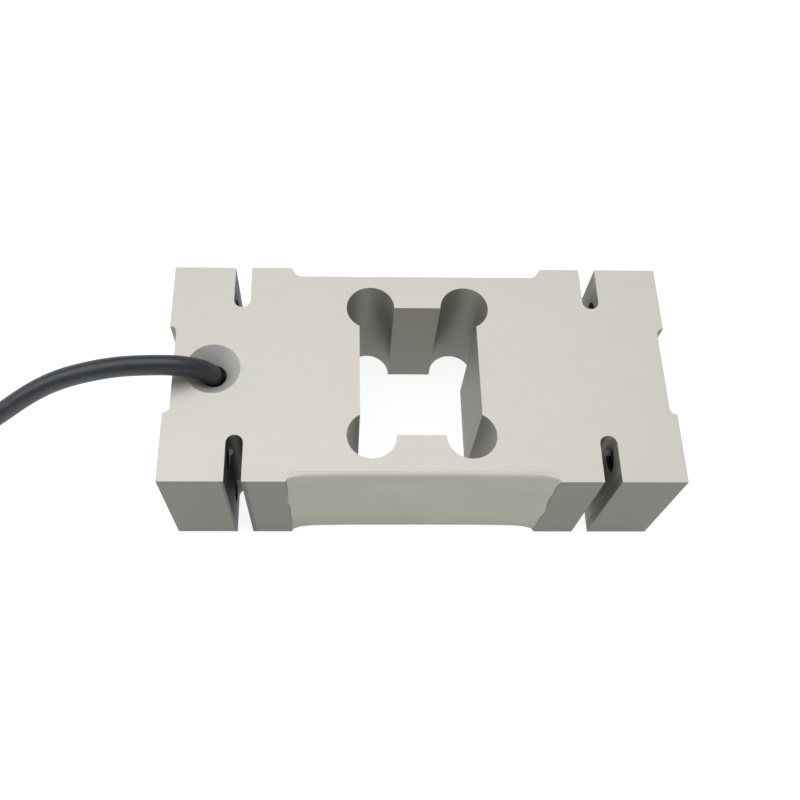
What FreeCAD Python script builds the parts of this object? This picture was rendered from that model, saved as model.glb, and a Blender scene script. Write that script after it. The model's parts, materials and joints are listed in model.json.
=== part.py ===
import FreeCAD, Part
import math
import os

# Single point load cell: an aluminium beam that is clamped by its end pads and read by strain
# gauges over four thin flexures, with its signal cable. Sizes are in millimetres.
#
# Frame: the cell lies on one side face. +X runs along the beam, away from the cable entry,
# +Y runs across the beam, from the front gauge face to the rear one, and +Z is up, out of the
# side face that the cable leaves. The origin is the centre of the bottom side face.

Vector = FreeCAD.Vector
X_AXIS = Vector(1, 0, 0)
Z_AXIS = Vector(0, 0, 1)
FRONT = -1
REAR = 1

# Beam blank
BEAM_LENGTH = 150.0
BEAM_HEIGHT = 71.5
BEAM_THICKNESS = 43.5

# Gauge recess, one on each long face
RECESS_DEPTH = 3.05
RECESS_HALF_LENGTH = 38.9
RECESS_RUNOUT_DEG = 58.0
RECESS_FILLET = 2.5

# Window through the beam: four flexure holes joined by a rectangle
FLEXURE_THICKNESS = 4.05
FLEXURE_HOLE_RADIUS = 7.3
FLEXURE_HOLE_OFFSET = 14.4
WINDOW_HALF_LENGTH = 17.8

# Slots that part the clamped end pads from the beam
PAD_THICKNESS = 18.8
SLOT_WIDTH = 5.0
SLOT_DEPTH = 14.35

# Relief between the two pads of each end face
END_RELIEF_DEPTH = 2.0
END_RELIEF_HALF_HEIGHT = 14.4
END_RELIEF_FILLET = 1.8

# M8 fixing holes, four in each end face
FIXING_RADIUS = 4.0
FIXING_SPACING_Y = 50.0
FIXING_SPACING_Z = 25.0
FIXING_CHAMFER = 0.5

# Cable entry
ENTRY_FROM_END = 13.75
ENTRY_MOUTH_RADIUS = 8.15
ENTRY_CONE_DEPTH = 5.0
ENTRY_BORE_BELOW_WIRES = 4.0
DRILL_POINT_DEG = 59.0
SEAL_THICKNESS = 0.6
SEAL_LENGTH = 4.0

# Passages from the cable entry to the two recesses
PASSAGE_RADIUS = 2.5
PASSAGE_MOUTH_FROM_RECESS_END = 6.9

# Gauges and flexible bridge boards, bonded to the recess floors
GAUGE_LENGTH = 10.0
GAUGE_WIDTH = 6.0
GAUGE_THICKNESS = 0.1
TAB_SPACING = 2.8
TAB_INSET = 0.9
RIBBON_WIDTH = 0.4
RIBBON_THICKNESS = 0.1
BOARD_LENGTH = 15.0
BOARD_WIDTH = 26.0
BOARD_THICKNESS = 0.1
PAD_INSET = 1.2
PAD_SIZE = 1.4
RESISTOR_LENGTH = 4.2
RESISTOR_WIDTH = 2.2
RESISTOR_HEIGHT = 0.45
RESISTOR_PITCH = 4.4

# Wires: their places in a passage are (across, up) from its axis, their pads' heights from mid
CORE_DIAMETER = 1.1
JUMPER_DIAMETER = 0.9
WIRE_ABOVE_FLOOR = 0.15
WIRE_SOLDER_HEIGHT = 1.0
RIBBON_SOLDER_HEIGHT = 0.35
RED_IN_PASSAGE = (-1.15, 1.5)
BLACK_IN_PASSAGE = (-0.1, 0.6)
GREEN_IN_PASSAGE = (1.5, 0.1)
WHITE_IN_PASSAGE = (0.0, 0.6)
POSITIVE_IN_PASSAGE = (-0.6, -1.85)
NEGATIVE_IN_PASSAGE = (0.7, -1.1)
RED_PAD = 12.05
BLACK_PAD = 10.45
GREEN_PAD = 8.85
WHITE_PAD = 10.45
NEGATIVE_PAD = -6.6
POSITIVE_PAD = -8.2

# Potting over the gauges
POTTING_THICKNESS = 1.3
POTTING_FOOT_LENGTH = 3.0
POTTING_CREEP_LENGTH = 18.0
POTTING_CREEP_HEIGHT = 0.4
POTTING_EDGE_BEVEL = 0.8

# Signal cable, and where its cores go down: ahead of the entry bore's axis, the black one behind
CABLE_DIAMETER = 6.0
CABLE_END_ABOVE_WIRES = 9.55
CORE_FORWARD = 1.2
BLACK_CORE_BACK = 0.4

# The put-away length: a long oval coil of stacked loops, in line with the beam between the paths
# of its end screws, held by two ties
COIL_CENTRE_X = -224.5
COIL_HALF_RUN = 52.0
COIL_FOLD_RADIUS = 17.0
COIL_LAYERS = 3
COIL_CLEARANCE = 0.15
COIL_LEAD_IN = 2.0
COIL_LEAD_IN_SLACK = 2.0
COIL_END_PAST_CENTRE = 10.0
TIE_WIDTH = 2.5
TIE_THICKNESS = 0.9
TIE_CLEARANCE = 0.1
TIE_HEAD = (4.6, 5.2, 3.2)
TIE_PAST_CENTRE = 24.0

# Leads at the far end: how far out they lie in the jacket's end, and how they run from it
LEAD_OUTER = 1.7
LEAD_INNER = 0.9
LEAD_RISE = 1.2
LEAD_STRAIGHT = 3.2
LEAD_RUN_DOWN = 17.0
LEAD_RUN_FLAT = 15.0
LEAD_TURN_IN = 7.0
LEAD_SPREAD = 1.2

# Worked out from the values above
END_X = BEAM_LENGTH / 2
FACE_Y = BEAM_HEIGHT / 2
FLOOR_Y = FACE_Y - RECESS_DEPTH
MID_Z = BEAM_THICKNESS / 2
FLEXURE_HOLE_Y = FLOOR_Y - FLEXURE_THICKNESS - FLEXURE_HOLE_RADIUS
ENTRY_X = ENTRY_FROM_END - END_X
ENTRY_BORE_RADIUS = CABLE_DIAMETER / 2 + SEAL_THICKNESS
PASSAGE_MOUTH_X = PASSAGE_MOUTH_FROM_RECESS_END - RECESS_HALF_LENGTH
RECESS_FOOT_HALF_LENGTH = RECESS_HALF_LENGTH - RECESS_DEPTH / math.tan(math.radians(RECESS_RUNOUT_DEG))
CABLE_END_Z = MID_Z + CABLE_END_ABOVE_WIRES
COIL_FLOOR = TIE_THICKNESS
COIL_FIRST_LAYER_Z = COIL_FLOOR + COIL_CLEARANCE + CABLE_DIAMETER / 2
COIL_TOP_LAYER_Z = COIL_FIRST_LAYER_Z + (COIL_LAYERS - 1) * CABLE_DIAMETER
COIL_REACH = CABLE_DIAMETER / 2 + COIL_CLEARANCE
COIL_START_X = COIL_CENTRE_X + COIL_HALF_RUN + COIL_LEAD_IN
COIL_END_X = COIL_CENTRE_X + COIL_END_PAST_CENTRE

# Route of the cable's centreline from the seal to the coil, chosen by hand: straight up the entry
# bore, over the rim with a tight bend, off the end of the beam and down onto the coil.
CABLE_ROUTE = [
    (ENTRY_X, 0, CABLE_END_Z),
    (ENTRY_X, 0, 38.9),
    (-64.4, -1.1, 45.2),
    (-70.2, -2.1, 48.9),
    (-78.6, -3.0, 50.2),
    (-91.5, -3.9, 49.2),
    (-110.0, -6.6, 42.8),
    (-129.0, -13.1, 31.2),
    (-144.0, -16.5, 21.6),
    (-157.5, -COIL_FOLD_RADIUS, COIL_TOP_LAYER_Z),
    (COIL_START_X, -COIL_FOLD_RADIUS, COIL_TOP_LAYER_Z),
]


# ---------------------------------------------------------------- outlines and paths


def corner_arc(before, corner, after, radius):
    """The arc of that radius that rounds a corner, as its start, middle and end."""
    back = (before - corner).normalize()
    ahead = (after - corner).normalize()
    half = back.getAngle(ahead) / 2
    reach = radius / math.tan(half)
    to_centre = (back + ahead).normalize()
    middle = corner + to_centre * (radius / math.sin(half) - radius)
    return corner + back * reach, middle, corner + ahead * reach


def rounded_edges(points, radii, closed):
    """Straight edges joined by tangent arcs: radii holds one radius a point, 0 for a sharp one."""
    count = len(points)
    stops = []
    for i, point in enumerate(points):
        at_end = not closed and i in (0, count - 1)
        if at_end or radii[i] == 0:
            stops.append((point, None, point))
        else:
            stops.append(corner_arc(points[i - 1], point, points[(i + 1) % count], radii[i]))
    edges = []
    for i, (start, middle, end) in enumerate(stops):
        if middle is not None:
            edges.append(Part.Arc(start, middle, end).toShape())
        if i + 1 < count or closed:
            following = stops[(i + 1) % count][0]
            if (following - end).Length > 1e-6:
                edges.append(Part.LineSegment(end, following).toShape())
    return edges


def outline_prism(corners, radii, low, high):
    """An upright prism between two heights, on a closed outline of X and Y corners."""
    points = [Vector(x, y, low) for x, y in corners]
    face = Part.Face(Part.Wire(rounded_edges(points, radii, closed=True)))
    return face.extrude(Z_AXIS * (high - low))


def block(low, high):
    """The box between two opposite corners."""
    size = Vector(*high) - Vector(*low)
    return Part.makeBox(size.x, size.y, size.z, Vector(*low))


def plate(centre_x, centre_z, length, width, side, height, thickness):
    """A flat piece over a recess floor: centre along and across, length, width, height above it."""
    near = side * (FLOOR_Y + height)
    far = side * (FLOOR_Y + height + thickness)
    low = (centre_x - length / 2, min(near, far), centre_z - width / 2)
    high = (centre_x + length / 2, max(near, far), centre_z + width / 2)
    return block(low, high)


def tube(points, radii, diameter):
    """A round tube along straight runs joined by arcs."""
    path = Part.Wire(rounded_edges(points, radii, closed=False))
    direction = (points[1] - points[0]).normalize()
    ring = Part.Wire(Part.makeCircle(diameter / 2, points[0], direction))
    swept = path.makePipeShell([ring], True, False)
    return as_single_solid(swept)


def thin_wire(points, diameter):
    """A thin wire along straight runs that meet in mitres."""
    path = Part.Wire(rounded_edges(points, [0] * len(points), closed=False))
    direction = (points[1] - points[0]).normalize()
    ring = Part.Wire(Part.makeCircle(diameter / 2, points[0], direction))
    mitred = 1
    return as_single_solid(path.makePipeShell([ring], True, False, mitred))


def as_single_solid(shape):
    """The one solid in a shape."""
    if not shape.Solids:
        return Part.makeSolid(shape)
    if len(shape.Solids) != 1:
        raise ValueError("expected one solid, found %d" % len(shape.Solids))
    return shape.Solids[0]


def free_cord_radii(points):
    """Arcs as large as the runs allow: 0.45 of the shorter run over the tangent of half the turn."""
    radii = [0.0]
    for before, here, after in zip(points, points[1:], points[2:]):
        turn = (here - before).getAngle(after - here)
        shorter = min((here - before).Length, (after - here).Length)
        radii.append(0.45 * shorter / math.tan(turn / 2))
    return radii + [0.0]


# ---------------------------------------------------------------- beam


def window_cut():
    """The window: a rectangle whose corners run into the four flexure holes."""
    half_height = FLEXURE_HOLE_Y
    cut = block((-WINDOW_HALF_LENGTH, -half_height, 0), (WINDOW_HALF_LENGTH, half_height, BEAM_THICKNESS))
    for x in (-FLEXURE_HOLE_OFFSET, FLEXURE_HOLE_OFFSET):
        for y in (-FLEXURE_HOLE_Y, FLEXURE_HOLE_Y):
            cut = cut.fuse(Part.makeCylinder(FLEXURE_HOLE_RADIUS, BEAM_THICKNESS, Vector(x, y, 0)))
    return cut.removeSplitter()


def slot_cut(end, side):
    """One pad slot, open at the long face and round at its inner end."""
    outer = end * (END_X - PAD_THICKNESS)
    inner = end * (END_X - PAD_THICKNESS - SLOT_WIDTH)
    mouth = side * (FACE_Y + 1)
    bottom = side * (FACE_Y - SLOT_DEPTH)
    corners = [(outer, mouth), (inner, mouth), (inner, bottom), (outer, bottom)]
    # just under half the width, so that a short flat is left between the two arcs
    nose = SLOT_WIDTH / 2 - 0.001
    return outline_prism(corners, [0, 0, nose, nose], 0, BEAM_THICKNESS)


def recess_cut(side):
    """The gauge recess of one long face, with sloping ends that blend into its floor."""
    mouth = RECESS_HALF_LENGTH
    foot = RECESS_FOOT_HALF_LENGTH
    face = side * FACE_Y
    floor = side * FLOOR_Y
    over = side * (FACE_Y + 1)
    corners = [(-mouth, over), (-mouth, face), (-foot, floor), (foot, floor), (mouth, face), (mouth, over)]
    radii = [0, 0, RECESS_FILLET, RECESS_FILLET, 0, 0]
    return outline_prism(corners, radii, 0, BEAM_THICKNESS)


def end_relief_cut(end):
    """The shallow relief that leaves two pads standing on an end face."""
    face = end * (END_X + 1)
    floor = end * (END_X - END_RELIEF_DEPTH)
    half = END_RELIEF_HALF_HEIGHT
    corners = [(face, -half), (floor, -half), (floor, half), (face, half)]
    radii = [0, END_RELIEF_FILLET, END_RELIEF_FILLET, 0]
    return outline_prism(corners, radii, 0, BEAM_THICKNESS)


def fixing_hole_cut(end, y, z):
    """One M8 hole through an end pad into its slot, chamfered at the end face."""
    wide = FIXING_RADIUS + FIXING_CHAMFER
    profile = [(0, -1), (wide, -1), (wide, 0), (FIXING_RADIUS, FIXING_CHAMFER)]
    profile += [(FIXING_RADIUS, PAD_THICKNESS + 1), (0, PAD_THICKNESS + 1)]
    # the profile is drawn inwards from the right-hand end face, then turned for the left-hand one
    points = [Vector(END_X - inwards, 0, radius) for radius, inwards in profile]
    edges = rounded_edges(points, [0] * len(points), closed=True)
    hole = Part.Face(Part.Wire(edges)).revolve(Vector(0, 0, 0), X_AXIS, 360)
    if end < 0:
        hole.rotate(Vector(0, 0, 0), Z_AXIS, 180)
    hole.translate(Vector(0, y, z))
    return hole


def cable_entry_cut():
    """The countersunk cable bore, ending in a drill point."""
    bottom = MID_Z - ENTRY_BORE_BELOW_WIRES
    point = bottom - ENTRY_BORE_RADIUS / math.tan(math.radians(DRILL_POINT_DEG))
    rim = BEAM_THICKNESS - ENTRY_CONE_DEPTH
    profile = [(0, BEAM_THICKNESS), (ENTRY_MOUTH_RADIUS, BEAM_THICKNESS), (ENTRY_BORE_RADIUS, rim)]
    profile += [(ENTRY_BORE_RADIUS, bottom), (0, point)]
    points = [Vector(radius, 0, z) for radius, z in profile]
    face = Part.Face(Part.Wire(rounded_edges(points, [0] * len(points), closed=True)))
    cut = face.revolve(Vector(0, 0, 0), Z_AXIS, 360)
    cut.translate(Vector(ENTRY_X, 0, 0))
    return cut


def passage_frame(side):
    """Direction of a wire passage from the entry bore, and the level direction across it."""
    mouth = Vector(PASSAGE_MOUTH_X, side * FLOOR_Y, 0)
    along = (mouth - Vector(ENTRY_X, 0, 0)).normalize()
    across = Vector(abs(along.y), -side * along.x, 0)
    return along, across


def passage_cut(side):
    """The wire passage from the entry bore to one gauge recess."""
    along, _ = passage_frame(side)
    start = Vector(ENTRY_X, 0, MID_Z)
    length = (FLOOR_Y + RECESS_DEPTH / 2) / abs(along.y)
    return Part.makeCylinder(PASSAGE_RADIUS, length, start, along)


def beam_body():
    """The machined beam, one solid."""
    body = block((-END_X, -FACE_Y, 0), (END_X, FACE_Y, BEAM_THICKNESS))
    cuts = [window_cut(), cable_entry_cut()]
    for side in (FRONT, REAR):
        cuts.append(recess_cut(side))
        cuts.append(passage_cut(side))
    for end in (-1, 1):
        cuts.append(end_relief_cut(end))
        cuts += [slot_cut(end, side) for side in (FRONT, REAR)]
        for y in (-FIXING_SPACING_Y / 2, FIXING_SPACING_Y / 2):
            for z in (MID_Z - FIXING_SPACING_Z / 2, MID_Z + FIXING_SPACING_Z / 2):
                cuts.append(fixing_hole_cut(end, y, z))
    for cut in cuts:
        body = body.cut(cut)
    return as_single_solid(body.removeSplitter())


# ---------------------------------------------------------------- bridge


def strain_gauge(side, end):
    """One foil gauge on its carrier, bonded over a flexure."""
    x = end * FLEXURE_HOLE_OFFSET
    return plate(x, MID_Z, GAUGE_LENGTH, GAUGE_WIDTH, side, 0, GAUGE_THICKNESS)


def bridge_board(side):
    """The flexible board between a face's two gauges, where its wires are joined."""
    return plate(0, MID_Z, BOARD_LENGTH, BOARD_WIDTH, side, 0, BOARD_THICKNESS)


def resistor(position):
    """One compensation resistor on the front board, position -1, 0 or 1 up its middle."""
    z = MID_Z + position * RESISTOR_PITCH
    return plate(0, z, RESISTOR_LENGTH, RESISTOR_WIDTH, FRONT, BOARD_THICKNESS, RESISTOR_HEIGHT)


def gauge_lead(side, end, row):
    """One ribbon from a gauge's tab to its pad on the board, soldered at both ends."""
    z = MID_Z + row * TAB_SPACING / 2
    tab_x = end * (FLEXURE_HOLE_OFFSET - GAUGE_LENGTH / 2 + TAB_INSET)
    pad_x = end * (BOARD_LENGTH / 2 - PAD_INSET)
    length = abs(tab_x - pad_x)
    ribbon = plate((tab_x + pad_x) / 2, z, length, RIBBON_WIDTH, side, BOARD_THICKNESS, RIBBON_THICKNESS)
    tab = plate(tab_x, z, PAD_SIZE / 2, PAD_SIZE / 2, side, GAUGE_THICKNESS, RIBBON_SOLDER_HEIGHT)
    pad = plate(pad_x, z, PAD_SIZE, PAD_SIZE, side, BOARD_THICKNESS, RIBBON_SOLDER_HEIGHT)
    return as_single_solid(ribbon.fuse([tab, pad]).removeSplitter())


def gauge_leads(side):
    """The four gauge leads of one face."""
    return Part.Compound([gauge_lead(side, end, row) for end in (-1, 1) for row in (-1, 1)])


def turn_onto_floor(side, place, diameter):
    """Where a wire at that place in its passage turns to lie along the recess floor."""
    lateral, level = place
    along, across = passage_frame(side)
    line_y = side * (FLOOR_Y + WIRE_ABOVE_FLOOR + diameter / 2)
    travel = (line_y - lateral * across.y) / along.y
    point = Vector(ENTRY_X, 0, MID_Z + level) + along * travel + across * lateral
    return point


def pad_point(side, pad, diameter):
    """Where a wire ends, over its pad on the board."""
    x = PAD_INSET - BOARD_LENGTH / 2
    return Vector(x, side * (FLOOR_Y + WIRE_ABOVE_FLOOR + diameter / 2), MID_Z + pad)


def wire_solder(side, pad):
    """The solder on a wire's pad, round its bare end."""
    x = PAD_INSET - BOARD_LENGTH / 2
    return plate(x, MID_Z + pad, PAD_SIZE, PAD_SIZE, side, BOARD_THICKNESS, WIRE_SOLDER_HEIGHT)


def core_wire(side, forward, place, pad):
    """One cable core: down from the cable's end, along the passage and over the floor to its pad."""
    lateral, level = place
    along, across = passage_frame(side)
    leg = Vector(ENTRY_X, 0, 0) + along * forward + across * lateral
    points = [Vector(leg.x, leg.y, CABLE_END_Z), Vector(leg.x, leg.y, MID_Z + level)]
    points.append(turn_onto_floor(side, place, CORE_DIAMETER))
    points.append(pad_point(side, pad, CORE_DIAMETER))
    wire = thin_wire(points, CORE_DIAMETER)
    return as_single_solid(wire.fuse(wire_solder(side, pad)).removeSplitter())


def jumper_wire(place, pad):
    """One wire that joins the two boards, through both passages."""
    lateral, level = place
    along, across = passage_frame(FRONT)
    # the two passage lines meet on the beam's centre plane
    travel = -lateral * across.y / along.y
    corner = Vector(ENTRY_X, 0, MID_Z + level) + along * travel + across * lateral
    points = [pad_point(FRONT, pad, JUMPER_DIAMETER), turn_onto_floor(FRONT, place, JUMPER_DIAMETER)]
    points.append(corner)
    points += [turn_onto_floor(REAR, place, JUMPER_DIAMETER), pad_point(REAR, pad, JUMPER_DIAMETER)]
    wire = thin_wire(points, JUMPER_DIAMETER)
    joints = [wire_solder(side, pad) for side in (FRONT, REAR)]
    return as_single_solid(wire.fuse(joints).removeSplitter())


def bridge_wiring():
    """Every insulated wire between the cable's end and the boards, by node name."""
    return {
        "core_red": core_wire(FRONT, CORE_FORWARD, RED_IN_PASSAGE, RED_PAD),
        "core_black": core_wire(FRONT, -BLACK_CORE_BACK, BLACK_IN_PASSAGE, BLACK_PAD),
        "core_green": core_wire(FRONT, CORE_FORWARD, GREEN_IN_PASSAGE, GREEN_PAD),
        "core_white": core_wire(REAR, CORE_FORWARD, WHITE_IN_PASSAGE, WHITE_PAD),
        "jumper_positive": jumper_wire(POSITIVE_IN_PASSAGE, POSITIVE_PAD),
        "jumper_negative": jumper_wire(NEGATIVE_IN_PASSAGE, NEGATIVE_PAD),
    }


# ---------------------------------------------------------------- potting and seal


def potting(side, buried):
    """Silicone over one recess: level in the middle, climbing the runouts, around what it buries."""
    level = side * (FLOOR_Y + POTTING_THICKNESS)
    creep = side * (FLOOR_Y + POTTING_THICKNESS + POTTING_CREEP_HEIGHT)
    creep_x = RECESS_HALF_LENGTH - POTTING_FOOT_LENGTH
    level_x = RECESS_HALF_LENGTH - POTTING_CREEP_LENGTH
    # the skin runs on past the recess, in line, so that its bevelled edges do too
    past_x = RECESS_HALF_LENGTH + POTTING_FOOT_LENGTH
    past = side * (FACE_Y + RECESS_DEPTH - POTTING_THICKNESS - POTTING_CREEP_HEIGHT)
    under = side * (FLOOR_Y - RECESS_DEPTH)
    corners = [(-past_x, under), (-past_x, past), (-creep_x, creep), (-level_x, level)]
    corners += [(level_x, level), (creep_x, creep), (past_x, past), (past_x, under)]
    slab = outline_prism(corners, [0] * len(corners), 0, BEAM_THICKNESS)
    skin_edges = [edge for edge in slab.Edges if is_skin_edge(edge, side)]
    slab = slab.makeChamfer(POTTING_EDGE_BEVEL, skin_edges)
    return as_single_solid(slab.common(recess_cut(side)).cut(buried).removeSplitter())


def is_skin_edge(edge, side):
    """Whether an edge of the potting's slab borders its skin along the beam."""
    middle = edge.valueAt((edge.FirstParameter + edge.LastParameter) / 2)
    on_side_face = abs(middle.z) < 1e-6 or abs(middle.z - BEAM_THICKNESS) < 1e-6
    inside_ends = abs(middle.x) < RECESS_HALF_LENGTH + POTTING_FOOT_LENGTH - 1e-6
    return on_side_face and inside_ends and side * middle.y > FLOOR_Y


def cable_seal():
    """The ring of sealing compound round the cable in its bore."""
    base = Vector(ENTRY_X, 0, CABLE_END_Z)
    ring = Part.makeCylinder(ENTRY_BORE_RADIUS, SEAL_LENGTH, base)
    return ring.cut(Part.makeCylinder(CABLE_DIAMETER / 2, SEAL_LENGTH, base))


# ---------------------------------------------------------------- cable


def cable_jacket():
    """The cable from its end in the beam to where the coil begins."""
    points = [Vector(*point) for point in CABLE_ROUTE]
    radii = free_cord_radii(points)
    for point, radius in zip(CABLE_ROUTE[1:-1], radii[1:-1]):
        print("cable bend at (%.1f, %.1f, %.1f): radius %.1f mm" % (*point, radius))
    jacket = tube(points, radii, CABLE_DIAMETER)
    path = Part.Wire(rounded_edges(points, radii, closed=False))
    share = jacket.Volume / (path.Length * math.pi * CABLE_DIAMETER**2 / 4)
    print("cable run %.1f mm, volume %.4f of section times length" % (path.Length, share))
    return jacket


def oval(reach, low, high):
    """A prism on the coil's oval, that far inside or outside the loops' centreline."""
    radius = COIL_FOLD_RADIUS + reach
    far = COIL_HALF_RUN + radius
    corners = [(-far, -radius), (far, -radius), (far, radius), (-far, radius)]
    # just under the half width, so that a short flat is left between two arcs
    prism = outline_prism(corners, [radius - 0.001] * 4, low, high)
    prism.translate(Vector(COIL_CENTRE_X, 0, 0))
    return prism


def cable_coil():
    """The outer shape of the coil, with a notch where the cable joins it and a gap past its end."""
    top = COIL_TOP_LAYER_Z + COIL_REACH
    outside = COIL_HALF_RUN + COIL_FOLD_RADIUS + COIL_REACH + 1
    coil = oval(COIL_REACH, COIL_FLOOR, top).cut(oval(-COIL_REACH, COIL_FLOOR, top))
    notch_low = (COIL_START_X, -outside, COIL_TOP_LAYER_Z - COIL_REACH)
    notch_high = (COIL_CENTRE_X + outside, COIL_REACH + COIL_LEAD_IN_SLACK - COIL_FOLD_RADIUS, top + 1)
    gap_low = (COIL_END_X, 0, COIL_FLOOR - 1)
    gap_high = (COIL_CENTRE_X + outside, outside, COIL_FIRST_LAYER_Z + COIL_REACH)
    return as_single_solid(coil.cut([block(notch_low, notch_high), block(gap_low, gap_high)]))


def coil_tie(side):
    """A nylon tie round one long side of the coil: a band with its locking head on top."""
    low = COIL_FLOOR
    high = COIL_TOP_LAYER_Z + COIL_REACH
    half = COIL_REACH + TIE_CLEARANCE
    centre_x = COIL_CENTRE_X - TIE_PAST_CENTRE
    centre_y = side * COIL_FOLD_RADIUS
    near = centre_x - TIE_WIDTH / 2
    far = centre_x + TIE_WIDTH / 2
    band = TIE_THICKNESS
    tie = block((near, centre_y - half - band, low - band), (far, centre_y + half + band, high + band))
    tie = tie.cut(block((near, centre_y - half, low), (far, centre_y + half, high)))
    along, across, tall = TIE_HEAD
    head_low = (centre_x - along / 2, centre_y - across / 2, high)
    head_high = (centre_x + along / 2, centre_y + across / 2, high + tall)
    return as_single_solid(tie.fuse(block(head_low, head_high)).removeSplitter())


def far_end_lead(lateral, drop, row):
    """One lead at the far end: out of the jacket, down to the floor, fanned inside the coil."""
    start = Vector(COIL_END_X, COIL_FOLD_RADIUS + lateral, COIL_FIRST_LAYER_Z + drop)
    down = Vector(start.x + LEAD_RUN_DOWN, start.y - LEAD_TURN_IN + row * LEAD_SPREAD, CORE_DIAMETER / 2)
    tip = down + Vector(LEAD_RUN_FLAT, row * LEAD_SPREAD - LEAD_TURN_IN, 0)
    return thin_wire([start, start + X_AXIS * LEAD_STRAIGHT, down, tip], CORE_DIAMETER)


def far_end_leads():
    """The five leads at the cable's far end, by node name."""
    return {
        "lead_red": far_end_lead(LEAD_OUTER, 0, 2),
        "lead_black": far_end_lead(LEAD_INNER, -LEAD_RISE, 1),
        "lead_green": far_end_lead(0, LEAD_RISE, 0),
        "lead_white": far_end_lead(-LEAD_INNER, -LEAD_RISE, -1),
        "lead_shield": far_end_lead(-LEAD_OUTER, 0, -2),
    }


# ---------------------------------------------------------------- assembly


def build_parts():
    """Every piece of the load cell, by node name."""
    parts = {"beam_body": beam_body(), "cable_seal": cable_seal()}
    ends = {"left": -1, "right": 1}
    for face, side in (("front", FRONT), ("rear", REAR)):
        for end_name, end in ends.items():
            parts["strain_gauge_%s_%s" % (face, end_name)] = strain_gauge(side, end)
        parts["bridge_board_%s" % face] = bridge_board(side)
        parts["gauge_leads_%s" % face] = gauge_leads(side)
    parts["span_resistor_lower"] = resistor(-1)
    parts["zero_resistor"] = resistor(0)
    parts["span_resistor_upper"] = resistor(1)
    parts.update(bridge_wiring())
    outside = ("beam_body", "cable_seal")
    buried = [shape for name, shape in parts.items() if name not in outside]
    parts["potting_front"] = potting(FRONT, buried)
    parts["potting_rear"] = potting(REAR, buried)
    parts["cable_jacket"] = cable_jacket()
    parts["cable_coil"] = cable_coil()
    for number, side in enumerate((FRONT, REAR), 1):
        parts["coil_tie_%d" % number] = coil_tie(side)
    parts.update(far_end_leads())
    return parts


def main():
    os.makedirs("parts", exist_ok=True)
    for name, shape in build_parts().items():
        if not shape.isValid():
            raise ValueError("%s is not a valid shape" % name)
        shape.exportStep("parts/%s.step" % name)


main()
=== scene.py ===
"""The finished look of a single point load cell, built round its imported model.

Everything is in metres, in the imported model's own frame: +X along the beam away from the cable
entry, +Y from the front gauge face to the rear one, +Z up, and the floor at zero.
"""

import json
import logging
import math
from dataclasses import dataclass
from enum import Enum
from typing import Iterable, Sequence

import bmesh
import bpy
from mathutils import Matrix, Quaternion, Vector


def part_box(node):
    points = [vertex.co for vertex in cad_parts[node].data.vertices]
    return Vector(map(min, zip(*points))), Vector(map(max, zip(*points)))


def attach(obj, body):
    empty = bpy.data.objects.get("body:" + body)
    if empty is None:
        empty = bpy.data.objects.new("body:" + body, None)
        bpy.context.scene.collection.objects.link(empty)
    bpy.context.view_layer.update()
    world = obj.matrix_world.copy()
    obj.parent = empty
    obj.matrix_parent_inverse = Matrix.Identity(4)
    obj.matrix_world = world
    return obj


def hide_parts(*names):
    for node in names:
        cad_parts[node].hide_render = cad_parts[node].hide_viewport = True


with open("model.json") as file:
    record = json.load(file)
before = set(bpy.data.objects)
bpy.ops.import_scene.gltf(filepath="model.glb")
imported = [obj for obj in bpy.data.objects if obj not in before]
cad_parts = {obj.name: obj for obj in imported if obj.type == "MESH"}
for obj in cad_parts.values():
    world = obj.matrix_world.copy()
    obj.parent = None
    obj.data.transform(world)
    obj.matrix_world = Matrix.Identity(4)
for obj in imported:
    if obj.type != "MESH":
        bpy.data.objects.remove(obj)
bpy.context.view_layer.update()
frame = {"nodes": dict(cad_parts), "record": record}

log = logging.getLogger("load_cell")
Point = tuple[float, float, float]
Colour = tuple[float, float, float]
Socket = bpy.types.NodeSocket
MM = 0.001
MERGE_DISTANCE = 0.0005 * MM
UP = Vector((0.0, 0.0, 1.0))


# ---------------------------------------------------------------- shading


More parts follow.
